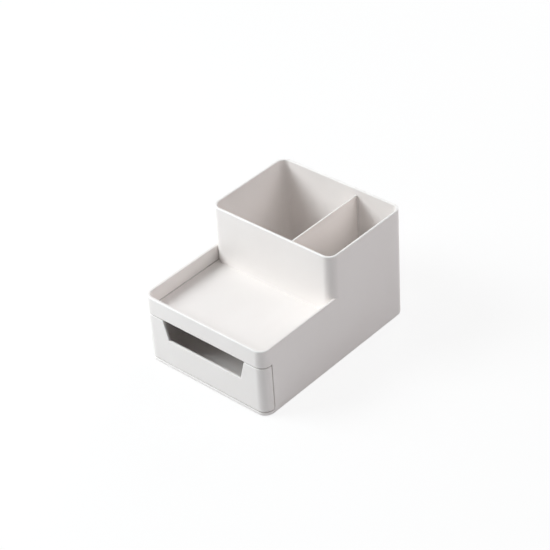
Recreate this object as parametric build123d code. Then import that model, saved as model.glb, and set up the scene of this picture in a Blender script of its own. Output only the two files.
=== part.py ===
from build123d import *
import os

# A small desk organizer moulded in plastic, in two steps.
# The low front step is a shallow tray with a drawer under it.
# The tall rear step is an open bin for pens, split in two by a loose partition.
#
# The pieces are the stepped housing, the drawer, the partition and four rubber pads.
# All lengths are in millimetres. +Z is up, the drawer opens towards -Y, and +X is
# the right side seen from the front. The origin is the middle of the footprint, on
# the surface that the pads stand on.

# Overall sizes
width = 130.0
depth = 178.0
tower_height = 106.0      # foot edge of the housing to the rim of the pen bin
tray_height = 65.0        # foot edge of the housing to the rim of the tray
tray_run = 85.4           # front face back to the front wall of the pen bin
corner_radius = 9.2       # upright outer corners, seen from above

# Walls of the housing
wall = 2.3                # pen bin, back and sides
tray_wall = 2.8           # raised edge round the tray
tray_slab = 2.4           # floor of the tray, which is also the roof over the drawer
tray_sink = 14.3          # rim of the tray down to its floor
base_lip = 2.8            # strip of housing that shows under the drawer
base_skin = 2.0           # floor of the housing, above the hollow underneath
skirt = 3.0               # foot edge that stands round the hollow underneath
bay_corner = 1.5          # upright corners at the back of the drawer's space

# Drawer
seam = 0.9                # gap that shows above, below and beside the drawer's front
front_wrap = 10.0         # how far the drawer's front reaches back round each side
front_wall = 2.2
bin_wall = 1.8
bin_floor = 1.8
bin_corner = 4.0          # upright corners inside the drawer
side_play = 0.5           # drawer to housing, at each side
rear_play = 1.0           # drawer to the wall behind it
wrap_corner = 1.8         # lower rear corner of the front's side return
runner_width = 3.0
runner_inset = 9.0        # side of the drawer in to the middle of a runner
runner_play = 0.1         # runner down to the floor that it slides on

# Finger opening in the top edge of the drawer's front
grip_top = 88.4
grip_bottom = 78.4
grip_depth = 18.6
grip_corner = 1.0

# Partition in the pen bin, held between upright ribs
partition_thick = 1.6
partition_offset = 17.7   # middle of the organizer out to the middle of the partition
partition_drop = 5.9      # rim of the pen bin down to the partition's top edge
partition_play = 0.3      # partition to the walls in front of it and behind it
slot_play = 0.25          # partition to each rib
rib_thick = 0.8
rib_reach = 1.2           # how far a rib stands out from its wall
rib_drop = 2.5            # partition's top edge down to the tops of the ribs

# Rubber pads
pad_diameter = 12.0
pad_proud = 0.8           # how far the pads lift the foot edge off the desk
pad_inset = 14.0          # outer faces in to the middle of a pad

# Rounded edges
rim_rounding = 0.9
edge_rounding = 0.5
rounding_limit_share = 0.4

# Every cut runs this far past the face that it opens
overrun = 4.0

# Places worked out from the sizes
half_width = width / 2
front_y = -depth / 2
back_y = depth / 2
foot_z = pad_proud
floor_z = foot_z + base_lip
tray_rim_z = foot_z + tray_height
tower_rim_z = foot_z + tower_height
tray_floor_z = tray_rim_z - tray_sink
bay_roof_z = tray_floor_z - tray_slab
tower_front_y = front_y + tray_run
tower_run = depth - tray_run
drawer_bottom_z = floor_z + seam
drawer_top_z = bay_roof_z - seam


def rounded_block(size_x, y_low, y_high, z_low, z_high, radius):
    """An upright block, centred on X, with all four upright corners rounded."""
    outline = RectangleRounded(size_x, y_high - y_low, radius)
    block = extrude(outline, z_high - z_low)
    return Pos(0, (y_low + y_high) / 2, z_low) * block


def plain_block(x_low, x_high, y_low, y_high, z_low, z_high):
    """A square-edged block between two corners."""
    block = Box(x_high - x_low, y_high - y_low, z_high - z_low)
    return Pos((x_low + x_high) / 2, (y_low + y_high) / 2, (z_low + z_high) / 2) * block


def soft(radius, thickness):
    """The rounding that a wall of this thickness has room for."""
    return min(radius, thickness * rounding_limit_share)


def edges_at_height(solid, z):
    """All edges that lie flat at one height."""
    return solid.edges().filter_by_position(Axis.Z, z, z)


def make_step():
    """The low step: tray on top, hollow underneath, still without the pen bin."""
    step = rounded_block(width, front_y, back_y, foot_z, tray_rim_z, corner_radius)
    step -= rounded_block(
        width - 2 * tray_wall, front_y + tray_wall, back_y - tray_wall,
        tray_floor_z, tray_rim_z + overrun, corner_radius - tray_wall,
    )
    return fillet(edges_at_height(step, tray_rim_z), soft(rim_rounding, tray_wall))


def make_tower():
    """The pen bin from the foot edge up, as one rounded box still without its hollow."""
    return rounded_block(width, tower_front_y, back_y, foot_z, tower_rim_z, corner_radius)


def make_bay():
    """The drawer's space under the tray, with the wider mouth that its front fills."""
    inner_half = half_width - wall
    bay = plain_block(-inner_half, inner_half, front_y - overrun, tower_front_y, floor_z, bay_roof_z)
    bay = fillet(bay.edges().filter_by(Axis.Z).group_by(Axis.Y)[-1], bay_corner)
    mouth_y = front_y + front_wrap + seam
    mouth = plain_block(
        -half_width - overrun, half_width + overrun, front_y - overrun, mouth_y, floor_z, bay_roof_z,
    )
    rear_edges = mouth.edges().filter_by(Axis.X).group_by(Axis.Y)[-1]
    mouth = fillet(rear_edges.sort_by(Axis.Z)[0], wrap_corner + seam)
    return bay + mouth


def make_ribs():
    """Two upright ribs on the front wall of the pen bin and two on its back wall."""
    top_z = tower_rim_z - partition_drop - rib_drop
    offset = partition_thick / 2 + slot_play + rib_thick / 2
    faces = (
        (tower_front_y, tower_front_y + wall + rib_reach),
        (back_y - wall - rib_reach, back_y),
    )
    ribs = []
    for y_low, y_high in faces:
        for side in (-1, 1):
            x = partition_offset + side * offset
            ribs.append(plain_block(x - rib_thick / 2, x + rib_thick / 2, y_low, y_high, floor_z, top_z))
    return ribs


def make_housing():
    """The stepped housing, one moulding."""
    housing = make_step() + make_tower()
    housing = fillet(edges_at_height(housing, foot_z), soft(edge_rounding, skirt))
    housing -= rounded_block(
        width - 2 * wall, tower_front_y + wall, back_y - wall,
        floor_z, tower_rim_z + overrun, corner_radius - wall,
    )
    housing -= make_bay()
    housing -= rounded_block(
        width - 2 * skirt, front_y + skirt, back_y - skirt,
        foot_z - overrun, floor_z - base_skin, corner_radius - skirt,
    )
    housing = fillet(edges_at_height(housing, tower_rim_z), soft(rim_rounding, wall))
    for rib in make_ribs():
        housing += rib
    return housing


def make_grip():
    """The cutter for the finger opening: wide at the top, narrower at the bottom."""
    bottom_z = drawer_top_z - grip_depth
    slant = (grip_top - grip_bottom) / 2 / grip_depth
    top_half = grip_top / 2 + overrun * slant
    outline = Polyline(
        (-top_half, drawer_top_z + overrun),
        (-grip_bottom / 2, bottom_z),
        (grip_bottom / 2, bottom_z),
        (top_half, drawer_top_z + overrun),
        close=True,
    )
    face = make_face(outline)
    face = fillet(face.vertices().group_by(Axis.Y)[0], grip_corner)
    cutter = extrude(Plane.XZ * face, front_wall + 2 * overrun)
    return Pos(0, front_y + front_wall + overrun, 0) * cutter


def make_drawer():
    """The drawer, one moulding: front with side returns, bin and two runners."""
    bin_half = half_width - wall - side_play
    bin_front_y = front_y + front_wrap / 2
    bin_back_y = tower_front_y - rear_play
    shell = rounded_block(width, front_y, back_y, drawer_bottom_z, drawer_top_z, corner_radius)
    shell &= plain_block(
        -half_width, half_width, front_y, front_y + front_wrap, drawer_bottom_z, drawer_top_z,
    )
    return_edges = shell.edges().filter_by(Axis.X).group_by(Axis.Y)[-1]
    shell = fillet(return_edges.sort_by(Axis.Z)[0], wrap_corner)
    shell += plain_block(-bin_half, bin_half, bin_front_y, bin_back_y, drawer_bottom_z, drawer_top_z)
    inner_half = bin_half - bin_wall
    hollow = plain_block(
        -inner_half, inner_half, bin_front_y, bin_back_y - bin_wall,
        drawer_bottom_z + bin_floor, drawer_top_z + overrun,
    )
    hollow = fillet(hollow.edges().filter_by(Axis.Z).group_by(Axis.Y)[-1], bin_corner)
    shoulder = rounded_block(
        width - 2 * front_wall, front_y + front_wall, back_y - front_wall,
        drawer_bottom_z + bin_floor, drawer_top_z + overrun, corner_radius - front_wall,
    )
    shoulder &= plain_block(
        -half_width, half_width, front_y, front_y + front_wrap - front_wall,
        drawer_bottom_z, drawer_top_z + overrun,
    )
    drawer = shell - hollow - shoulder
    drawer = fillet(edges_at_height(drawer, drawer_top_z), soft(edge_rounding, bin_wall))
    drawer -= make_grip()
    for side in (-1, 1):
        x = side * (bin_half - runner_inset)
        drawer += plain_block(
            x - runner_width / 2, x + runner_width / 2, front_y + front_wrap, bin_back_y,
            floor_z + runner_play, drawer_bottom_z,
        )
    return drawer


def make_partition():
    """The loose partition, a flat plate that stands on the floor of the pen bin."""
    plate = plain_block(
        partition_offset - partition_thick / 2, partition_offset + partition_thick / 2,
        tower_front_y + wall + partition_play, back_y - wall - partition_play,
        floor_z, tower_rim_z - partition_drop,
    )
    top_edges = edges_at_height(plate, tower_rim_z - partition_drop).filter_by(Axis.Y)
    return fillet(top_edges, soft(edge_rounding, partition_thick))


def make_pad(x, y):
    """One round rubber pad, stuck in the hollow and standing out under the foot edge."""
    top_z = floor_z - base_skin
    pad = Pos(x, y, top_z / 2) * Cylinder(pad_diameter / 2, top_z)
    return fillet(edges_at_height(pad, 0), soft(edge_rounding, pad_proud))


pieces = {
    "housing": make_housing(),
    "drawer": make_drawer(),
    "partition": make_partition(),
}
pad_x = half_width - pad_inset
pad_y = depth / 2 - pad_inset
for end, y in (("front", -pad_y), ("rear", pad_y)):
    for hand, x in (("left", -pad_x), ("right", pad_x)):
        pieces["pad_" + end + "_" + hand] = make_pad(x, y)

os.makedirs("parts", exist_ok=True)
for name, piece in pieces.items():
    export_step(piece, "parts/" + name + ".step")
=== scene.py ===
# %% [markdown]
# A desk organizer, moulded in warm white plastic. The low front step is a shallow
# tray with a drawer under it, and the tall rear step is an open bin for pens with
# a loose partition in it.
#
# The fixed frame holds every piece at its real size and place. We load it first and
# measure it, so that what we model here lands where the real piece is.

# %% Load the frame
import math

import bmesh
import bpy
from mathutils import Matrix, Vector


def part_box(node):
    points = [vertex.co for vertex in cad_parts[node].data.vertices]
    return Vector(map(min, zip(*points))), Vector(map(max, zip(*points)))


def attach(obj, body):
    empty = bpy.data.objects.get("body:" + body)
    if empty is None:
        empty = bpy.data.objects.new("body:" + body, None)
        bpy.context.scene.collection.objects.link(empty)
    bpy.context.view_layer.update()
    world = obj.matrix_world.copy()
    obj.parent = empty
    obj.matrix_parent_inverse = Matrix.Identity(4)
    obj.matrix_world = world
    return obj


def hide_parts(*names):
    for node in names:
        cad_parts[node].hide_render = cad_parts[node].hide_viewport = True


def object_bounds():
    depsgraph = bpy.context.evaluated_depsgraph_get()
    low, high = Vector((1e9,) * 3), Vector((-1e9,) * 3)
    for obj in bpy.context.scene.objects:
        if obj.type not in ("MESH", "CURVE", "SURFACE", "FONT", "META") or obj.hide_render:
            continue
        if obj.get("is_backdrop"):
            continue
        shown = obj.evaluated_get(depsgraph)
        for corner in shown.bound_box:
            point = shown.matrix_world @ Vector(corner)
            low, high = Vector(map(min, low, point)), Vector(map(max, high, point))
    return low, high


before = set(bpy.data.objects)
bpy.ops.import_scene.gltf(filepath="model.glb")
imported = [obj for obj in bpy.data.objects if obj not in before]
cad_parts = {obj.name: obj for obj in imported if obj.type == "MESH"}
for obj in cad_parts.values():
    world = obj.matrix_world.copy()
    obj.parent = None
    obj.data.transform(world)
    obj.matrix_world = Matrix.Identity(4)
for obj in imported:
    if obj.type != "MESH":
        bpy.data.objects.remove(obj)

cad_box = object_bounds()
mm = 0.001
print("frame holds", len(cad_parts), "nodes, from", cad_box[0], "to", cad_box[1])

# %% [markdown]
# The driving sizes come from the boxes of the four kinds of piece. What a box can't
# tell, such as the thickness of a wall or the radius of a corner, is named once: here
# where several pieces share it, and otherwise in the cell that needs it. Blender works
# in metres, so each size is a number of millimetres times mm. Every tool that cuts runs
# a little past the face that it opens, by the overrun.

# %% Sizes
case_low, case_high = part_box("housing")
front_low, front_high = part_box("drawer")
plate_low, plate_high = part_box("partition")
pad_names = sorted(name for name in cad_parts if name.startswith("pad_"))

corner_radius = 9.2 * mm
wall = 2.3 * mm
tray_wall = 2.8 * mm
tray_height = 65.0 * mm
tray_run = 85.4 * mm
tray_sink = 14.3 * mm
tray_slab = 2.4 * mm
base_lip = 2.8 * mm
base_skin = 2.0 * mm
skirt = 3.0 * mm
overrun = 4.0 * mm

half_width = case_high.x
front_y = case_low.y
back_y = case_high.y
foot_z = case_low.z
tower_rim_z = case_high.z
tray_rim_z = foot_z + tray_height
tray_floor_z = tray_rim_z - tray_sink
bay_roof_z = tray_floor_z - tray_slab
floor_z = foot_z + base_lip
hollow_roof_z = floor_z - base_skin
tower_front_y = front_y + tray_run
print("tower", round((tower_rim_z - foot_z) / mm, 1), "mm tall, tray rim at", round(tray_rim_z / mm, 1))

# %% [markdown]
# The camera stands where the photograph was taken from: to the right of the front
# and above, a long way off with a long lens, so the upright edges stay nearly
# parallel. Three directions make its turn: right, up, and back towards the camera.
# A place around the object is easiest to think of as a turn and a height, so one
# small function gives the direction for both. The lamps use it too.

# %% Camera
quarter_turn = 90
camera_turn = 43.5103
camera_height = 36.2701
roll = math.radians(-3.9793)
camera_lens = 118.167
camera_sensor = 36.0
aim = Vector((0, 8.5, 52.8)) * mm
camera_distance = 1494.36 * mm
camera_aside = -5.806 * mm
camera_raise = 2.909 * mm


def direction_at(turn, height):
    """The direction at a turn from the front towards the right, and a height, in degrees."""
    turn = math.radians(turn)
    height = math.radians(height)
    level = math.cos(height)
    return Vector((math.sin(turn) * level, -math.cos(turn) * level, math.sin(height)))


back = direction_at(camera_turn, camera_height)
level_right = direction_at(camera_turn + quarter_turn, 0)
level_up = back.cross(level_right)
right = level_right * math.cos(roll) + level_up * math.sin(roll)
up = level_up * math.cos(roll) - level_right * math.sin(roll)

bpy.ops.object.select_all(action="DESELECT")
bpy.ops.object.camera_add()
camera = bpy.context.object
camera.name = "camera"
camera.data.sensor_width = camera_sensor
camera.data.lens = camera_lens
camera_place = aim + back * camera_distance + right * camera_aside + up * camera_raise
camera_axes = Matrix((right, up, back)).transposed().to_4x4()
camera.matrix_world = Matrix.Translation(camera_place) @ camera_axes
bpy.context.scene.camera = camera
print("camera at", tuple(round(value / mm) for value in camera_place), "mm")

# %% [markdown]
# A product like this is shot in soft light on pale paper. The tones of its faces tell
# where the light comes from. The strong key lamp hangs to the left, in front and
# above: it throws the soft shadow of the bin's left wall on the wall behind it. A
# weaker one low behind the object lights the paper, which lifts every upright face a
# little. One high on the right, a little behind, keeps that side from going dark, and
# two faint low ones, left and front, reach in over the rims. From where the camera
# stands, hardly any of the pale plastic gets so much light that it turns plain white.

# %% Lamps
lamp_distance = 1.5
studio_middle = Vector((0, 0, 50)) * mm


def softbox(name, turn, height, size, watts, colour):
    """A square area lamp that looks at the middle of the object."""
    direction = direction_at(turn, height)
    bpy.ops.object.select_all(action="DESELECT")
    bpy.ops.object.light_add(type="AREA", location=studio_middle + direction * lamp_distance)
    lamp = bpy.context.object
    lamp.name = name
    lamp.rotation_euler = direction.to_track_quat("Z", "Y").to_euler()
    lamp.data.size = size
    lamp.data.energy = watts
    lamp.data.color = colour
    return lamp


lamps = (
    softbox("key_lamp", 309, 39.5, 0.8, 22.0, (0.940, 0.985, 1.0)),
    softbox("rear_lamp", 187, 20, 1.0, 8.6, (0.97, 1.0, 1.0)),
    softbox("right_lamp", 116, 37, 0.9, 7.2, (1.0, 0.965, 0.98)),
    softbox("left_lamp", 270, 24, 0.6, 2.2, (0.97, 1.0, 1.0)),
    softbox("front_lamp", 4, 18, 0.8, 1.5, (0.97, 1.0, 1.0)),
)
print("lamps:", [lamp.name for lamp in lamps])

# %% [markdown]
# The surroundings are a plain pale room. The camera and every reflection see pure
# white there, while the object is lit by a softer level of the same room. The Light
# Path node tells the two apart.

# %% World
ambient_strength = 0.08
ambient_colour = (1.0, 0.985, 0.985, 1.0)
pure_white = (1, 1, 1, 1)
white_strength = 1.0


def seen_directly(nodes, links):
    """1 where the camera, a reflection or a glass looks, 0 where light only bounces."""
    path = nodes.new("ShaderNodeLightPath")
    seen = path.outputs["Is Camera Ray"]
    for kind in ("Is Glossy Ray", "Is Transmission Ray"):
        either = nodes.new("ShaderNodeMath")
        either.operation = "MAXIMUM"
        links.new(seen, either.inputs[0])
        links.new(path.outputs[kind], either.inputs[1])
        seen = either.outputs[0]
    return seen


def pale_room():
    """A world that is pure white where it is seen, and softer where it lights."""
    world = bpy.data.worlds.new("pale_room")
    world.use_nodes = True
    nodes, links = world.node_tree.nodes, world.node_tree.links
    nodes.clear()
    room = nodes.new("ShaderNodeBackground")
    room.inputs["Color"].default_value = ambient_colour
    room.inputs["Strength"].default_value = ambient_strength
    white = nodes.new("ShaderNodeBackground")
    white.inputs["Color"].default_value = pure_white
    white.inputs["Strength"].default_value = white_strength
    choose = nodes.new("ShaderNodeMixShader")
    links.new(seen_directly(nodes, links), choose.inputs[0])
    links.new(room.outputs[0], choose.inputs[1])
    links.new(white.outputs[0], choose.inputs[2])
    links.new(choose.outputs[0], nodes.new("ShaderNodeOutputWorld").inputs["Surface"])
    return world


bpy.context.scene.world = pale_room()
bpy.context.scene.view_settings.view_transform = "Standard"
print("world:", bpy.context.scene.world.name)

# %% [markdown]
# The floor is pale paper. It does the same as the room, but only in part: a white glow
# makes up most of what the camera sees of it, and the rest is real paper, which keeps
# the object's soft shadow. The light that it throws up at the object is that of a
# greyer paper, so the undersides don't go too bright. A Mix node has sockets for every
# kind of value: its two colours are inputs 6 and 7, and the mixed one is output 2.

# %% Floor
floor_size = 12.0
floor_bounce_colour = (0.71, 0.71, 0.72, 1)
floor_white_share = 0.86
first_colour, second_colour, mixed_colour = 6, 7, 2


def pale_paper():
    """Paper that goes nearly white where it is seen, and greyer where it lights."""
    finish = bpy.data.materials.new("pale_floor")
    finish.use_nodes = True
    nodes, links = finish.node_tree.nodes, finish.node_tree.links
    nodes.clear()
    direct = seen_directly(nodes, links)
    colour = nodes.new("ShaderNodeMix")
    colour.data_type = "RGBA"
    links.new(direct, colour.inputs["Factor"])
    colour.inputs[first_colour].default_value = floor_bounce_colour
    colour.inputs[second_colour].default_value = pure_white
    paper = nodes.new("ShaderNodeBsdfDiffuse")
    links.new(colour.outputs[mixed_colour], paper.inputs["Color"])
    glow = nodes.new("ShaderNodeEmission")
    glow.inputs["Strength"].default_value = white_strength
    share = nodes.new("ShaderNodeMath")
    share.operation = "MULTIPLY"
    share.inputs[1].default_value = floor_white_share
    links.new(direct, share.inputs[0])
    blend = nodes.new("ShaderNodeMixShader")
    links.new(share.outputs[0], blend.inputs[0])
    links.new(paper.outputs[0], blend.inputs[1])
    links.new(glow.outputs[0], blend.inputs[2])
    links.new(blend.outputs[0], nodes.new("ShaderNodeOutputMaterial").inputs["Surface"])
    return finish


bpy.ops.object.select_all(action="DESELECT")
bpy.ops.mesh.primitive_plane_add(size=floor_size)
studio_floor = bpy.context.object
studio_floor.name = "studio_floor"
studio_floor.data.materials.append(pale_paper())
studio_floor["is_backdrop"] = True
print("floor:", round(floor_size), "metres across")

# %% [markdown]
# By hand, we would click on an edge and bevel it. Here the edges are picked by their
# place, and the same operators do the work. Most of what the pieces need is here: a
# block between two corners, a pick by a test, a bevel, a Boolean that joins or cuts,
# and a straight trim. After each step a piece is a closed mesh with its place in its
# mesh. A bevel is made of flat strips, more of them the wider it is.

# %% Helpers for modelling
near = 0.02 * mm
merge_distance = near / 10
flat_angle = math.radians(0.2)
sharp_angle = math.radians(35)

faint_segments = 2
soft_segments = 3
rim_segments = 4
small_corner_segments = 5
corner_segments = 6
wide_corner_segments = 8
arc_segments = 16


def make_active(piece):
    """Selects one piece alone, because an operator acts on all that is selected."""
    bpy.ops.object.select_all(action="DESELECT")
    piece.select_set(True)
    bpy.context.view_layer.objects.active = piece


def block(name, low, high):
    """A square-edged block between two corners."""
    low = Vector(low)
    high = Vector(high)
    bpy.ops.object.select_all(action="DESELECT")
    bpy.ops.mesh.primitive_cube_add(size=1, location=(low + high) / 2, scale=high - low)
    bpy.ops.object.transform_apply(location=True, rotation=True, scale=True)
    piece = bpy.context.object
    piece.name = name
    return piece


def pick(piece, kind, test):
    """Opens the piece in edit mode with the faces or edges selected that pass the test."""
    make_active(piece)
    bpy.ops.object.mode_set(mode="EDIT")
    bpy.ops.mesh.select_mode(type=kind)
    bpy.ops.mesh.select_all(action="DESELECT")
    mesh = bmesh.from_edit_mesh(piece.data)
    chosen = [item for item in (mesh.edges if kind == "EDGE" else mesh.faces) if test(item)]
    for item in chosen:
        item.select_set(True)
    bmesh.update_edit_mesh(piece.data)
    return len(chosen)


def lies_at(item, axis, place):
    """True if all corners of an edge or face lie at one place along an axis."""
    return all(abs(corner.co[axis] - place) < near for corner in item.verts)


def is_sharp(edge):
    """True for an edge where the surface turns by more than the sharp angle."""
    return edge.calc_face_angle(0) > sharp_angle


def is_upright(edge):
    """True for an edge that stands straight up."""
    one, two = edge.verts
    return abs(one.co.x - two.co.x) < near and abs(one.co.y - two.co.y) < near


def round_edges(piece, radius, segments, test):
    """Bevels the edges that pass the test."""
    count = pick(piece, "EDGE", test)
    if count:
        bpy.ops.mesh.bevel(offset=radius, segments=segments, affect="EDGES")
    bpy.ops.object.mode_set(mode="OBJECT")
    print(piece.name, "rounded", count, "edges by", round(radius / mm, 2), "mm")


def combine(piece, tool, operation):
    """Joins the tool to the piece or cuts it out, and clears up the cut."""
    make_active(piece)
    bpy.ops.object.modifier_add(type="BOOLEAN")
    modifier = piece.modifiers[-1]
    modifier.operation = operation
    modifier.solver = "EXACT"
    modifier.object = tool
    bpy.ops.object.modifier_apply(modifier=modifier.name)
    bpy.data.objects.remove(tool)
    bpy.ops.object.mode_set(mode="EDIT")
    bpy.ops.mesh.select_all(action="SELECT")
    bpy.ops.mesh.remove_doubles(threshold=merge_distance)
    bpy.ops.mesh.dissolve_limited(angle_limit=flat_angle)
    bpy.ops.object.mode_set(mode="OBJECT")


def trim_behind(piece, y):
    """Cuts off all that lies behind a plane across the piece, and closes the cut."""
    make_active(piece)
    bpy.ops.object.mode_set(mode="EDIT")
    bpy.ops.mesh.select_all(action="SELECT")
    bpy.ops.mesh.bisect(plane_co=(0, y, 0), plane_no=(0, 1, 0), use_fill=True, clear_outer=True)
    bpy.ops.object.mode_set(mode="OBJECT")


def open_edges(piece):
    """How many edges don't have exactly two faces, which is 0 on a closed mesh."""
    mesh = bmesh.new()
    mesh.from_mesh(piece.data)
    count = sum(len(edge.link_faces) != 2 for edge in mesh.edges)
    mesh.free()
    return count


print("helpers ready")

# %% [markdown]
# The housing is one moulding. Its low step starts as a block with its four upright
# edges rounded. The tray is the top face inset by the wall's thickness and pushed
# down. Both edges of the rim that is left are rounded, and so is the crease round the
# tray's floor.

# %% Housing: low step and tray
rim_rounding = 0.9 * mm
tray_fillet = 0.7 * mm

housing = block("housing_shell", (-half_width, front_y, foot_z), (half_width, back_y, tray_rim_z))
round_edges(housing, corner_radius, arc_segments, is_upright)
pick(housing, "FACE", lambda face: lies_at(face, 2, tray_rim_z))
bpy.ops.mesh.inset(thickness=tray_wall)
bpy.ops.mesh.extrude_region_move(TRANSFORM_OT_translate={"value": (0, 0, tray_floor_z - tray_rim_z)})
bpy.ops.object.mode_set(mode="OBJECT")
round_edges(
    housing, rim_rounding, rim_segments,
    lambda edge: lies_at(edge, 2, tray_rim_z) and is_sharp(edge),
)
round_edges(
    housing, tray_fillet, soft_segments,
    lambda edge: lies_at(edge, 2, tray_floor_z) and is_sharp(edge),
)
print("low step:", open_edges(housing), "open edges")

# %% [markdown]
# The tower stands on the rear of the step and shares its sides and back. Its rounded
# front corners stand free of the tray's side walls, so a narrow wedge stays open
# there, as on the real moulding. Joining two closed blocks with a Boolean gives that
# wedge without any work by hand.

# %% Housing: tower
tower = block("tower", (-half_width, tower_front_y, foot_z), (half_width, back_y, tower_rim_z))
round_edges(tower, corner_radius, arc_segments, is_upright)
combine(housing, tower, "UNION")
print("with tower:", open_edges(housing), "open edges,", len(housing.data.polygons), "faces")

# %% [markdown]
# The pen bin is cut from above with a rounded block, whose lower edges are rounded
# too, because a mould has no sharp corner at the bottom of a deep bin. Then the outer
# and the inner edge of the rim get the same rounding as the tray's.

# %% Housing: pen bin
bin_fillet = 1.2 * mm

bin_core = block(
    "bin_core",
    (wall - half_width, tower_front_y + wall, floor_z),
    (half_width - wall, back_y - wall, tower_rim_z + overrun),
)
round_edges(bin_core, corner_radius - wall, arc_segments, is_upright)
round_edges(
    bin_core, bin_fillet, rim_segments,
    lambda edge: lies_at(edge, 2, floor_z) and is_sharp(edge),
)
combine(housing, bin_core, "DIFFERENCE")
round_edges(
    housing, rim_rounding, rim_segments,
    lambda edge: lies_at(edge, 2, tower_rim_z) and is_sharp(edge),
)
print("with pen bin:", open_edges(housing), "open edges")

# %% [markdown]
# The drawer runs in a bay under the tray. Its front wraps round the corners, so the
# housing is cut right through at the front, from side to side, and only the strip
# under the tray and the lip at the foot stay. The lower rear corner of that mouth is
# rounded, because the drawer's side return is.

# %% Housing: bay and mouth for the drawer
seam = 0.9 * mm
front_wrap = 10.0 * mm
wrap_corner = 1.8 * mm
bay_corner = 1.5 * mm
mouth_y = front_y + front_wrap + seam

bay_core = block(
    "bay_core",
    (wall - half_width, front_y - overrun, floor_z),
    (half_width - wall, tower_front_y, bay_roof_z),
)
round_edges(
    bay_core, bay_corner, small_corner_segments,
    lambda edge: is_upright(edge) and lies_at(edge, 1, tower_front_y),
)
mouth_core = block(
    "mouth_core",
    (-half_width - overrun, front_y - overrun, floor_z),
    (half_width + overrun, mouth_y, bay_roof_z),
)
round_edges(
    mouth_core, wrap_corner + seam, wide_corner_segments,
    lambda edge: lies_at(edge, 1, mouth_y) and lies_at(edge, 2, floor_z),
)
combine(bay_core, mouth_core, "UNION")
combine(housing, bay_core, "DIFFERENCE")
print("with bay:", open_edges(housing), "open edges")

# %% [markdown]
# The foot is hollow from below, so that the floor of the moulding is no thicker than
# its walls. The pins that push a warm moulding off its tool leave shallow round marks
# on such a hidden face, and the plastic that fed the mould leaves a small stub in the
# middle. One helper makes the round tools for all of them.

# %% Housing: hollow foot and moulding marks
pin_radius = 3.0 * mm
pin_sink = 0.25 * mm
pin_sides = 32
pin_x_share = 0.42
pin_y_share = 0.62
gate_radius = 1.2 * mm
gate_height = 0.5 * mm
gate_sides = 24


def disc(name, x, y, low_z, high_z, radius, sides):
    """An upright round block."""
    bpy.ops.object.select_all(action="DESELECT")
    bpy.ops.mesh.primitive_cylinder_add(
        vertices=sides, radius=radius, depth=high_z - low_z, location=(x, y, (low_z + high_z) / 2)
    )
    bpy.ops.object.transform_apply(location=True, rotation=True, scale=True)
    piece = bpy.context.object
    piece.name = name
    return piece


def pin_marks(piece, face_z, places, sink):
    """Sinks a round mark into a face that looks down, at each place."""
    for x, y in places:
        mark = disc("pin_mark", x, y, face_z - sink, face_z + sink, pin_radius, pin_sides)
        combine(piece, mark, "DIFFERENCE")


foot_core = block(
    "foot_core",
    (skirt - half_width, front_y + skirt, foot_z - overrun),
    (half_width - skirt, back_y - skirt, hollow_roof_z),
)
round_edges(foot_core, corner_radius - skirt, arc_segments, is_upright)
combine(housing, foot_core, "DIFFERENCE")
pin_reach_x = half_width * pin_x_share
pin_reach_y = back_y * pin_y_share
pin_places = [(x, y) for x in (-pin_reach_x, pin_reach_x) for y in (-pin_reach_y, 0, pin_reach_y)]
pin_marks(housing, hollow_roof_z, pin_places, pin_sink)
gate_low_z = hollow_roof_z - gate_height
gate_high_z = hollow_roof_z + gate_height
stub = disc("gate_stub", 0, 0, gate_low_z, gate_high_z, gate_radius, gate_sides)
combine(housing, stub, "UNION")
print("with foot:", open_edges(housing), "open edges")

# %% [markdown]
# Two pairs of upright ribs hold the partition, one pair on the front wall of the bin
# and one on the back wall. They end a little below the partition's top edge, so that
# it is easy to grip. Each rib is a slim block with a softened top and a softened outer
# edge, while its upright edge beside the slot stays crisp. Its foot and back are sunk
# into the housing before the two are joined, so no gap is left where they meet.

# %% Housing: ribs that hold the partition
rib_thick = 0.8 * mm
rib_reach = 1.2 * mm
rib_drop = 2.5 * mm
rib_soft = 0.3 * mm
rib_root = 1.0 * mm
slot_play = 0.25 * mm

plate_x = (plate_low.x + plate_high.x) / 2
rib_top_z = plate_high.z - rib_drop
rib_offset = (plate_high.x - plate_low.x) / 2 + slot_play + rib_thick / 2
front_rib = (tower_front_y + wall - rib_root, tower_front_y + wall + rib_reach)
rear_rib = (back_y - wall - rib_reach, back_y - wall + rib_root)
for low_y, high_y in (front_rib, rear_rib):
    for side in (-1, 1):
        rib_x = plate_x + side * rib_offset
        rib = block(
            "rib",
            (rib_x - rib_thick / 2, low_y, floor_z - rib_root),
            (rib_x + rib_thick / 2, high_y, rib_top_z),
        )
        slot_x = rib_x - side * rib_thick / 2
        round_edges(
            rib, rib_soft, soft_segments,
            lambda edge: lies_at(edge, 2, rib_top_z) or is_upright(edge) and not lies_at(edge, 0, slot_x),
        )
        combine(housing, rib, "UNION")
print("with ribs:", open_edges(housing), "open edges")

# %% [markdown]
# The drawer's front leaves a narrow seam, and the light that catches the softened
# edges beside it is what makes a seam look real. The edges to soften lie on the outer
# skin of the organizer, so one helper says whether a corner of the mesh lies there:
# on a flat side, or on the quarter circle of an upright corner.

# %% Housing: softened seam and foot
seam_soft = 0.5 * mm
foot_soft = 0.5 * mm


def on_skin(point):
    """True if a point lies on the rounded outline of the organizer, seen from above."""
    past_x = abs(point.x) - (half_width - corner_radius)
    past_y = abs(point.y) - (back_y - corner_radius)
    if past_x > 0 and past_y > 0:
        return abs(math.hypot(past_x, past_y) - corner_radius) < near
    return abs(max(past_x, past_y) - corner_radius) < near


def skin_edge(edge, low_z, high_z):
    """True for a sharp edge that runs along the outer skin between two heights."""
    inside = all(low_z - near < corner.co.z < high_z + near for corner in edge.verts)
    return inside and is_sharp(edge) and all(on_skin(corner.co) for corner in edge.verts)


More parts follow.
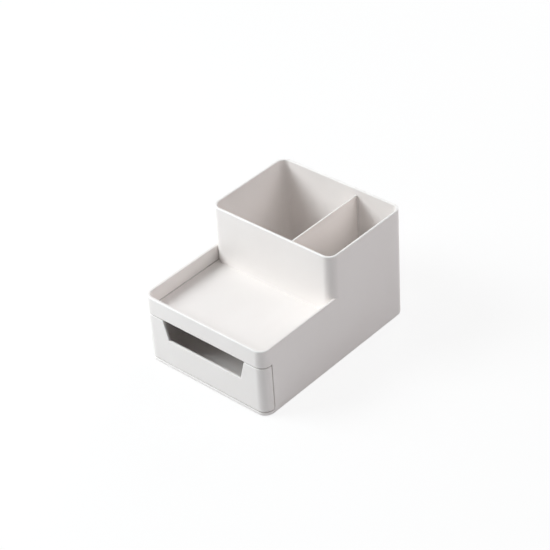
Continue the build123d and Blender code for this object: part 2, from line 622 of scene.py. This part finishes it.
def beside_mouth(edge):
    """True for the edges of the housing's skin that run round the mouth."""
    reaches_back = max(corner.co.y for corner in edge.verts)
    return skin_edge(edge, floor_z, bay_roof_z) and reaches_back < mouth_y + near


round_edges(housing, seam_soft, soft_segments, beside_mouth)
round_edges(
    housing, foot_soft, soft_segments,
    lambda edge: lies_at(edge, 2, foot_z) and is_sharp(edge),
)
print("housing:", open_edges(housing), "open edges,", len(housing.data.polygons), "faces")

# %% [markdown]
# The drawer is also one moulding. Its front wraps round both corners, and a plain tub
# hangs behind it. The two outer shapes are joined first, then one tool cuts the
# inside out of both: a long hollow for the tub, and a short wider one that follows
# the front round its corners, so the front keeps the same wall all along. The small
# softened edges wait until every cut is made, because a Boolean is surest on plain
# flat faces.

# %% Drawer: front and tub
front_wall = 2.2 * mm
tub_wall = 1.8 * mm
tub_floor = 1.8 * mm
tub_corner = 1.5 * mm
hollow_corner = 4.0 * mm
hollow_fillet = 1.0 * mm
side_play = 0.5 * mm

drawer_bottom_z = floor_z + seam
drawer_top_z = front_high.z
wrap_y = front_y + front_wrap
tub_half = half_width - wall - side_play
tub_front_y = front_y + front_wrap / 2
tub_back_y = front_high.y
inside_z = drawer_bottom_z + tub_floor

drawer = block(
    "drawer_shell",
    (-half_width, front_y, drawer_bottom_z),
    (half_width, wrap_y, drawer_top_z),
)
round_edges(
    drawer, corner_radius, arc_segments,
    lambda edge: is_upright(edge) and lies_at(edge, 1, front_y),
)
round_edges(
    drawer, wrap_corner, corner_segments,
    lambda edge: lies_at(edge, 1, wrap_y) and lies_at(edge, 2, drawer_bottom_z),
)
tub = block("tub", (-tub_half, tub_front_y, drawer_bottom_z), (tub_half, tub_back_y, drawer_top_z))
round_edges(
    tub, tub_corner, corner_segments,
    lambda edge: is_upright(edge) and lies_at(edge, 1, tub_back_y),
)
combine(drawer, tub, "UNION")

hollow = block(
    "hollow",
    (tub_wall - tub_half, tub_front_y, inside_z),
    (tub_half - tub_wall, tub_back_y - tub_wall, drawer_top_z + overrun),
)
hollow_back_y = tub_back_y - tub_wall
round_edges(
    hollow, hollow_corner, wide_corner_segments,
    lambda edge: is_upright(edge) and lies_at(edge, 1, hollow_back_y),
)
inner_front_y = front_y + front_wall
inner_radius = corner_radius - front_wall
shoulder = block(
    "shoulder",
    (front_wall - half_width, inner_front_y, inside_z),
    (half_width - front_wall, inner_front_y + 2 * inner_radius, drawer_top_z + overrun),
)
round_edges(
    shoulder, inner_radius, arc_segments,
    lambda edge: is_upright(edge) and lies_at(edge, 1, inner_front_y),
)
trim_behind(shoulder, wrap_y - front_wall)
combine(hollow, shoulder, "UNION")
combine(drawer, hollow, "DIFFERENCE")
print("drawer:", open_edges(drawer), "open edges")

# %% [markdown]
# The drawer has no knob. Fingers reach in through an opening in the top edge of its
# front, wider at the top than at the bottom. The tool for it is a block whose lower
# face is scaled along X, and whose lower corners are rounded a little.

# %% Drawer: finger opening
grip_top = 88.4 * mm
grip_bottom = 78.4 * mm
grip_depth = 18.6 * mm
grip_corner = 1.0 * mm

grip_z = drawer_top_z - grip_depth
spread = (grip_top - grip_bottom) / 2 / grip_depth
mouth_half = grip_top / 2 + spread * overrun
grip = block(
    "grip",
    (-mouth_half, front_y - overrun, grip_z),
    (mouth_half, inner_front_y + overrun / 2, drawer_top_z + overrun),
)
pick(grip, "FACE", lambda face: lies_at(face, 2, grip_z))
bpy.ops.transform.resize(value=(grip_bottom / 2 / mouth_half, 1, 1))
bpy.ops.object.mode_set(mode="OBJECT")


def runs_back(edge):
    """True for an edge that runs straight from front to back."""
    one, two = edge.verts
    return abs(one.co.x - two.co.x) < near and abs(one.co.z - two.co.z) < near


round_edges(
    grip, grip_corner, small_corner_segments,
    lambda edge: runs_back(edge) and lies_at(edge, 2, grip_z),
)
combine(drawer, grip, "DIFFERENCE")
print("with opening:", open_edges(drawer), "open edges")

# %% [markdown]
# Two low runners under the tub are all that slides on the housing's floor, so the
# drawer moves easily. They are sunk a little into the tub before they are joined to
# it. The same round pin marks as under the housing are pressed in between them.

# %% Drawer: runners and moulding marks
runner_half = 1.5 * mm
runner_inset = 9.0 * mm
runner_root = 0.6 * mm
runner_soft = 0.3 * mm
mark_rear_share = 0.3
mark_front_share = 0.7
mark_row_share = 0.35

for side in (-1, 1):
    runner_x = side * (tub_half - runner_inset)
    runner = block(
        "runner",
        (runner_x - runner_half, wrap_y - runner_root, front_low.z),
        (runner_x + runner_half, tub_back_y - tub_corner, drawer_bottom_z + runner_root),
    )
    round_edges(runner, runner_soft, faint_segments, lambda edge: lies_at(edge, 2, front_low.z))
    combine(drawer, runner, "UNION")
mark_y = tub_back_y * mark_rear_share + front_y * mark_front_share
mark_rows = (mark_y, mark_y * mark_row_share)
mark_places = [(x, y) for x in (-pin_reach_x, pin_reach_x) for y in mark_rows]
pin_marks(drawer, drawer_bottom_z, mark_places, pin_sink)
print("with runners:", open_edges(drawer), "open edges")

# %% [markdown]
# One bevel softens every edge that a hand or the light can reach: the top of the tub
# and of the front, both edges of the finger opening, and the front's edges along the
# seam. Edges that meet in a corner are bevelled together, because only then does the
# operator build a round corner between them. A second one rounds the floor's edge.

# %% Drawer: softened edges
drawer_soft = 0.45 * mm


def drawer_edge(edge):
    """True for the edges of the drawer that are softened."""
    on_front = lies_at(edge, 1, front_y) or lies_at(edge, 1, inner_front_y)
    beside_grip = on_front and min(corner.co.z for corner in edge.verts) > grip_z - near
    top = lies_at(edge, 2, drawer_top_z)
    return is_sharp(edge) and (top or beside_grip or skin_edge(edge, drawer_bottom_z, drawer_top_z))


round_edges(drawer, drawer_soft, soft_segments, drawer_edge)
round_edges(
    drawer, hollow_fillet, rim_segments,
    lambda edge: lies_at(edge, 2, inside_z) and is_sharp(edge),
)
print("drawer:", open_edges(drawer), "open edges,", len(drawer.data.polygons), "faces")

# %% [markdown]
# The partition is a thin plate that drops in between the ribs. Its lower corners are
# rounded to clear the rounding at the bottom of the bin. Its top edges are softened
# most, because hands reach past them.

# %% Partition
plate_corner = 2.2 * mm
plate_top_soft = 0.5 * mm
plate_side_soft = 0.25 * mm


def across(edge):
    """True for an edge that runs through the plate from side to side."""
    one, two = edge.verts
    return abs(one.co.y - two.co.y) < near and abs(one.co.z - two.co.z) < near


plate = block("partition_plate", plate_low, plate_high)
round_edges(
    plate, plate_corner, corner_segments,
    lambda edge: across(edge) and lies_at(edge, 2, plate_low.z),
)
round_edges(
    plate, plate_top_soft, soft_segments,
    lambda edge: lies_at(edge, 2, plate_high.z) and is_sharp(edge),
)
round_edges(plate, plate_side_soft, faint_segments, is_sharp)
print("partition:", open_edges(plate), "open edges")

# %% [markdown]
# Four rubber pads stand under the foot. One is modelled, with a rounded edge and a
# shallow dish in its face that grips like a small suction cup, and then copied. Each
# copy gets its own mesh, moved in edit mode, so that its object stays at the origin.

# %% Pads
pad_edge = 0.35 * mm
dish_margin = 1.6 * mm
dish_sink = 0.3 * mm
dish_soft = 0.2 * mm
pad_sides = 48

first_low, first_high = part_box(pad_names[0])
first_middle = (first_low + first_high) / 2
first_pad = disc(
    "rubber_" + pad_names[0],
    first_middle.x, first_middle.y, first_low.z, first_high.z,
    (first_high.x - first_low.x) / 2, pad_sides,
)
pick(first_pad, "FACE", lambda face: lies_at(face, 2, first_low.z))
bpy.ops.mesh.inset(thickness=dish_margin)
bpy.ops.mesh.extrude_region_move(TRANSFORM_OT_translate={"value": (0, 0, dish_sink)})
bpy.ops.object.mode_set(mode="OBJECT")


def pad_rim(edge):
    """True for the two edges of the ring that the pad stands on."""
    return lies_at(edge, 2, first_low.z) and is_sharp(edge)


def outermost(edge):
    """True for an edge on the round outline of the first pad."""
    reach = first_pad.dimensions.x / 2 - near
    return all((corner.co - first_middle).xy.length > reach for corner in edge.verts)


round_edges(
    first_pad, pad_edge, soft_segments,
    lambda edge: pad_rim(edge) and outermost(edge),
)
round_edges(
    first_pad, dish_soft, faint_segments,
    lambda edge: pad_rim(edge) and not outermost(edge),
)
pads = {pad_names[0]: first_pad}
for name in pad_names[1:]:
    make_active(first_pad)
    bpy.ops.object.duplicate(linked=False)
    pad = bpy.context.object
    pad.name = "rubber_" + name
    low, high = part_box(name)
    bpy.ops.object.mode_set(mode="EDIT")
    bpy.ops.mesh.select_all(action="SELECT")
    bpy.ops.transform.translate(value=(low + high) / 2 - first_middle)
    bpy.ops.object.mode_set(mode="OBJECT")
    pads[name] = pad
print(len(pads), "pads,", open_edges(first_pad), "open edges in each")

# %% [markdown]
# The edges that show are bevelled now, so all can be shaded smooth. A plain smooth shade
# would bend the light across the large flat faces, so the Weighted Normal modifier
# lets each large face keep its own direction and turns the light only on the narrow
# bevelled ones. The bevels and the narrow tops of the walls are also what hands and
# other things rub against, so they are marked for the finish: 1 there, 0 elsewhere.
# There the finish is glossier from the rubbing, and lighter as a painted highlight.
# A second mark says how much painted shade a face gets: in the crease round the tray's
# floor and on the faces that turn down beside a seam. Which way a face looks is read
# from its normal, whose Z is 1 straight up, -1 straight down.

# %% Smooth shading and the marks for rubbed edges with a painted highlight, and painted shade
# How much painted shade darkens the tray's crease and the faces under a seam, from 0 to 1.
crease_shade = 0.55
seam_shade = 1.0
narrow = 1.3 * mm
least_turn = math.radians(8)
smooth_angle = math.radians(42)
straight_up = 0.99
straight_down = -0.95
slightly_down = -0.2


# A face that passes gets a painted highlight: a lighter tone, on top of the gloss of rubbing.
def is_rubbed_highlit(face):
    """True for a narrow face whose edges turn outwards, its longest one among them."""
    around = sum(edge.calc_length() for edge in face.edges)
    longest = max(face.edges, key=lambda edge: edge.calc_length())
    turned = [edge for edge in face.edges if edge.calc_face_angle(0) > least_turn]
    is_narrow = 2 * face.calc_area() / around < narrow
    return is_narrow and longest in turned and all(edge.is_convex for edge in turned)


def lies_between(face, low_z, high_z):
    """True for a face that lies between two heights."""
    return all(low_z - near < corner.co.z < high_z + near for corner in face.verts)


def painted_shade_on(face):
    """How much painted shade a face gets, from 0 to 1."""
    in_crease = lies_between(face, tray_floor_z, tray_floor_z + tray_fillet)
    if in_crease and face.normal.z < straight_up:
        return crease_shade
    turns_down = straight_down < face.normal.z < slightly_down
    beside_seam = any(lies_between(face, z, z + seam_soft) for z in (bay_roof_z, drawer_bottom_z))
    return seam_shade if turns_down and beside_seam else 0.0


def mark_faces(piece, name, measure):
    """Stores a number for each face, under a name that the materials read."""
    mesh = bmesh.new()
    mesh.from_mesh(piece.data)
    marks = [float(measure(face)) for face in mesh.faces]
    mesh.free()
    attribute = piece.data.attributes.new(name, "FLOAT", "FACE")
    attribute.data.foreach_set("value", marks)
    return sum(mark > 0 for mark in marks)


def smooth_surface(piece):
    """Shades a piece smooth, with the light turning only on its narrow faces."""
    make_active(piece)
    bpy.ops.object.shade_smooth_by_angle(angle=smooth_angle)
    bpy.ops.object.modifier_add(type="WEIGHTED_NORMAL")
    modifier = piece.modifiers[-1]
    modifier.keep_sharp = True
    bpy.ops.object.modifier_apply(modifier=modifier.name)


for piece in (housing, drawer, plate, *pads.values()):
    rubbed_highlit_count = mark_faces(piece, "rubbed_highlit", is_rubbed_highlit)
    painted_shade_count = mark_faces(piece, "painted_shade", painted_shade_on)
    print(piece.name, "rubbed faces:", rubbed_highlit_count, "dusty faces:", painted_shade_count)
    smooth_surface(piece)

# %% [markdown]
# A moulded surface is never one flat colour. The tool leaves a fine grain, large
# faces are a touch uneven, the tone drifts by a percent or so, and handling leaves
# slightly glossier patches. Each of these is a node group, built once and placed in
# every material with its own values. A small helper makes an empty group with named
# sockets.

# %% Helpers for node groups
def new_group(name, inputs, outputs):
    """An empty shader group with float inputs and outputs, and its two end nodes."""
    group = bpy.data.node_groups.new(name, "ShaderNodeTree")
    for label, value in inputs:
        socket = group.interface.new_socket(label, in_out="INPUT", socket_type="NodeSocketFloat")
        socket.default_value = value
    for label in outputs:
        group.interface.new_socket(label, in_out="OUTPUT", socket_type="NodeSocketFloat")
    return group, group.nodes.new("NodeGroupInput"), group.nodes.new("NodeGroupOutput")


def math_node(group, operation, first, second):
    """A Math node whose two inputs are sockets or plain numbers."""
    node = group.nodes.new("ShaderNodeMath")
    node.operation = operation
    for slot, value in enumerate((first, second)):
        if isinstance(value, (int, float)):
            node.inputs[slot].default_value = value
        else:
            group.links.new(value, node.inputs[slot])
    return node.outputs[0]


def noise_of_size(group, size, detail, stretch=(1, 1, 1)):
    """Noise on the piece's own coordinates, with blotches of a size in metres."""
    place_node = group.nodes.new("ShaderNodeTexCoord")
    mapping = group.nodes.new("ShaderNodeMapping")
    mapping.inputs["Scale"].default_value = stretch
    noise = group.nodes.new("ShaderNodeTexNoise")
    noise.inputs["Detail"].default_value = detail
    group.links.new(place_node.outputs["Object"], mapping.inputs["Vector"])
    group.links.new(mapping.outputs["Vector"], noise.inputs["Vector"])
    group.links.new(math_node(group, "DIVIDE", 1.0, size), noise.inputs["Scale"])
    return noise.outputs["Fac"]


def spread_out(group, value, low, high):
    """Stretches a value so that low becomes 0 and high becomes 1, softly at both ends."""
    node = group.nodes.new("ShaderNodeMapRange")
    node.interpolation_type = "SMOOTHSTEP"
    node.inputs["From Min"].default_value = low
    node.inputs["From Max"].default_value = high
    group.links.new(value, node.inputs["Value"])
    return node.outputs["Result"]


print("group helpers ready")

# %% [markdown]
# Grain is what the spark-worn steel of the tool leaves: tiny even pits, about a
# quarter of a millimetre apart. It puts out a height for a Bump node. Waves are the
# slow hollows of a cooling wall, tens of millimetres long, for a second Bump node.

# %% Group: moulded grain and waves
grain_detail = 2.0
wave_detail = 1.0

moulded_grain, ends_in, ends_out = new_group(
    "moulded_grain",
    (("Grain Size", 0.25 * mm), ("Wave Size", 34.0 * mm)),
    ("Grain Height", "Wave Height"),
)
fine = noise_of_size(moulded_grain, ends_in.outputs["Grain Size"], grain_detail)
slow = noise_of_size(moulded_grain, ends_in.outputs["Wave Size"], wave_detail)
moulded_grain.links.new(fine, ends_out.inputs["Grain Height"])
moulded_grain.links.new(slow, ends_out.inputs["Wave Height"])
print("made group", moulded_grain.name)

# %% [markdown]
# The tone drifts where the plastic flowed and cooled at different speeds, so the
# blotches are longer from front to back and upwards, the way it flowed, than from side
# to side. Smudges are patches that hands have polished, broad ones with fine ones laid
# over them. Both are masks from 0 to 1.

# %% Group: tone and handling
blotch_detail = 3.0
fine_detail = 2.0
flow_stretch = (1.0, 0.6, 0.45)
fine_size_share = 0.12
broad_weight_share = 0.7
fine_weight_share = 0.3
drift_spread = (0.34, 0.66)
smudge_spread = (0.36, 0.64)

tone_and_handling, ends_in, ends_out = new_group(
    "tone_and_handling",
    (("Drift Size", 30.0 * mm), ("Smudge Size", 11.0 * mm)),
    ("Drift", "Smudge"),
)
drift = noise_of_size(tone_and_handling, ends_in.outputs["Drift Size"], blotch_detail, flow_stretch)
broad = noise_of_size(tone_and_handling, ends_in.outputs["Smudge Size"], blotch_detail)
fine_size = math_node(tone_and_handling, "MULTIPLY", ends_in.outputs["Smudge Size"], fine_size_share)
fine = noise_of_size(tone_and_handling, fine_size, fine_detail)
smudge = math_node(
    tone_and_handling, "ADD",
    math_node(tone_and_handling, "MULTIPLY", broad, broad_weight_share),
    math_node(tone_and_handling, "MULTIPLY", fine, fine_weight_share),
)
drift_mask = spread_out(tone_and_handling, drift, *drift_spread)
smudge_mask = spread_out(tone_and_handling, smudge, *smudge_spread)
tone_and_handling.links.new(drift_mask, ends_out.inputs["Drift"])
tone_and_handling.links.new(smudge_mask, ends_out.inputs["Smudge"])
print("made group", tone_and_handling.name)

# %% [markdown]
# Rubbed edges, with their painted highlight, and the painted shade in the crease and
# the seams read the marks that the meshes carry. A mark alone would be too even, so
# noise thins it out here and there: the rubbed edges in short stretches, the painted
# shade in long ones, because a fine dark line that came and went quickly would look
# like stitches.

# %% Group: rubbed edges with a painted highlight, and painted shade
least_rub_highlight = 0.5
least_shade = 0.75
broken_spread = (0.35, 0.62)

wear_highlight_and_shade, ends_in, ends_out = new_group(
    "wear_highlight_and_shade",
    (("Wear Highlight Stretch", 6.0 * mm), ("Shade Stretch", 30.0 * mm)),
    ("Rub Highlight", "Painted Shade"),
)
for mark, output, stretch, least in (
    ("rubbed_highlit", "Rub Highlight", "Wear Highlight Stretch", least_rub_highlight),
    ("painted_shade", "Painted Shade", "Shade Stretch", least_shade),
):
    mark_node = wear_highlight_and_shade.nodes.new("ShaderNodeAttribute")
    mark_node.attribute_name = mark
    blotches = noise_of_size(wear_highlight_and_shade, ends_in.outputs[stretch], blotch_detail)
    broken = spread_out(wear_highlight_and_shade, blotches, *broken_spread)
    above_least = math_node(wear_highlight_and_shade, "MULTIPLY", broken, 1 - least)
    kept_share = math_node(wear_highlight_and_shade, "ADD", above_least, least)
    thinned = math_node(wear_highlight_and_shade, "MULTIPLY", mark_node.outputs["Fac"], kept_share)
    wear_highlight_and_shade.links.new(thinned, ends_out.inputs[output])
print("made group", wear_highlight_and_shade.name)

# %% [markdown]
# One function builds a moulded plastic from the three groups. Two close colours are
# mixed by the drift, a third, lighter one comes in on rubbed edges as a painted
# highlight, and a dark grey one as painted shade in the crease and the seams. The
# smudges set the roughness between two values, and rubbing lowers it further. The
# Principled shader stays in the material, where the export can read it.

# %% Helpers for materials
rub_polish = 0.12
# The dark grey of the painted shade in the crease and the seams.
painted_shade_colour = (0.24, 0.22, 0.21)


def place_group(material, group, values):
    """Places a group in a material with its own values."""
    node = material.node_tree.nodes.new("ShaderNodeGroup")
    node.node_tree = group
    for label, value in values.items():
        node.inputs[label].default_value = value
    return node.outputs


def mix_colours(tree, mask, first, second):
    """Mixes two colours by a mask. Each is a plain colour or a socket."""
    node = tree.nodes.new("ShaderNodeMix")
    node.data_type = "RGBA"
    tree.links.new(mask, node.inputs["Factor"])
    for slot, colour in ((first_colour, first), (second_colour, second)):
        if isinstance(colour, tuple):
            node.inputs[slot].default_value = (*colour, 1)
        else:
            tree.links.new(colour, node.inputs[slot])
    return node.outputs[mixed_colour]


def bump(tree, height, distance, normal=None):
    """Turns a height into a normal, on top of another normal if there is one."""
    node = tree.nodes.new("ShaderNodeBump")
    node.inputs["Distance"].default_value = distance
    tree.links.new(height, node.inputs["Height"])
    if normal is not None:
        tree.links.new(normal, node.inputs["Normal"])
    return node.outputs["Normal"]


def moulded(name, tones, roughness, grain_size, relief):
    """A moulded finish with tones that drift, patchy roughness, grain and waves."""
    light, deep, rubbed_highlit = tones
    glossy, matt = roughness
    grain_height, wave_height = relief
    material = bpy.data.materials.new(name)
    material.use_nodes = True
    tree = material.node_tree
    shader = tree.nodes["Principled BSDF"]
    skin = place_group(material, moulded_grain, {"Grain Size": grain_size})
    tone = place_group(material, tone_and_handling, {})
    edges = place_group(material, wear_highlight_and_shade, {})
    base = mix_colours(tree, tone["Drift"], deep, light)
    # A lighter tone on rubbed edges paints a highlight, and the dark grey after it paints shade.
    highlit_edges = mix_colours(tree, edges["Rub Highlight"], base, rubbed_highlit)
    shade_painted = mix_colours(tree, edges["Painted Shade"], highlit_edges, painted_shade_colour)
    tree.links.new(shade_painted, shader.inputs["Base Color"])
    polished = math_node(tree, "MULTIPLY", tone["Smudge"], glossy - matt)
    patchy = math_node(tree, "ADD", polished, matt)
    rubbed_off = math_node(tree, "MULTIPLY", edges["Rub Highlight"], rub_polish)
    worn = math_node(tree, "SUBTRACT", patchy, rubbed_off)
    tree.links.new(worn, shader.inputs["Roughness"])
    waves = bump(tree, skin["Wave Height"], wave_height)
    tree.links.new(bump(tree, skin["Grain Height"], grain_height, waves), shader.inputs["Normal"])
    return material


print("material helpers ready")

# %% [markdown]
# The three plastics share their sheen and relief and differ only a little in tone, as
# parts do that come from different moulds. The thin partition looks a touch warmer in
# the photograph, and its tones are also lighter than the housing's: that lift is painted
# light, for the light that the bin's walls throw on it. The rubber is a duller light grey
# with a coarser grain. Each finish has a light, a deep and a rubbed tone, the last one
# lighter as a painted highlight, and two roughnesses, glossy before matt.

# %% Finishes
satin = (0.40, 0.50)
dull = (0.72, 0.86)
plastic_grain = 0.25 * mm
plate_grain = 0.22 * mm
rubber_grain = 0.35 * mm
plastic_relief = (0.008 * mm, 0.06 * mm)
rubber_relief = (0.02 * mm, 0.02 * mm)

# The third tone of each is the lighter one of rubbed edges: a painted highlight.
housing_tones = ((0.908, 0.871, 0.850), (0.896, 0.857, 0.835), (0.955, 0.936, 0.922))
drawer_tones = ((0.907, 0.871, 0.850), (0.895, 0.857, 0.835), (0.955, 0.936, 0.922))
# The partition's tones are lighter than the housing's: painted light for the light bounced on it.
plate_tones_with_painted_light = ((0.945, 0.890, 0.856), (0.932, 0.876, 0.840), (0.965, 0.940, 0.920))
rubber_tones = ((0.56, 0.56, 0.55), (0.50, 0.50, 0.49), (0.60, 0.60, 0.59))

housing_finish = moulded("satin_housing", housing_tones, satin, plastic_grain, plastic_relief)
drawer_finish = moulded("satin_drawer", drawer_tones, satin, plastic_grain, plastic_relief)
plate_finish = moulded("satin_partition", plate_tones_with_painted_light, satin, plate_grain, plastic_relief)
pad_finish = moulded("soft_rubber", rubber_tones, dull, rubber_grain, rubber_relief)
print("finishes:", housing_finish.name, drawer_finish.name, plate_finish.name, pad_finish.name)

# %% [markdown]
# Last, each piece gets its finish, rides on its body, and stands for its node of the
# frame. The pads ride on the housing, because they are stuck to it.

# %% Dress the frame
def dress(piece, finish, body, node):
    """Gives a piece its finish and ties it to the frame."""
    piece.data.materials.clear()
    piece.data.materials.append(finish)
    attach(piece, body)
    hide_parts(node)
    corners = len(piece.data.vertices)
    print(piece.name, "rides on", body, "-", corners, "vertices,", open_edges(piece), "open edges")


dress(housing, housing_finish, "housing", "housing")
dress(drawer, drawer_finish, "drawer", "drawer")
dress(plate, plate_finish, "partition", "partition")
for name, pad in pads.items():
    dress(pad, pad_finish, "housing", name)

# %% [markdown]
# The pieces must not outgrow the frame. Both boxes are printed, axis by axis.

# %% Sizes and finish
visual_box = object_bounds()
for axis, cad, seen in zip("XYZ", cad_box[1] - cad_box[0], visual_box[1] - visual_box[0]):
    print(axis, "frame", round(cad / mm, 2), "mm, pieces", round(seen / mm, 2), "mm")
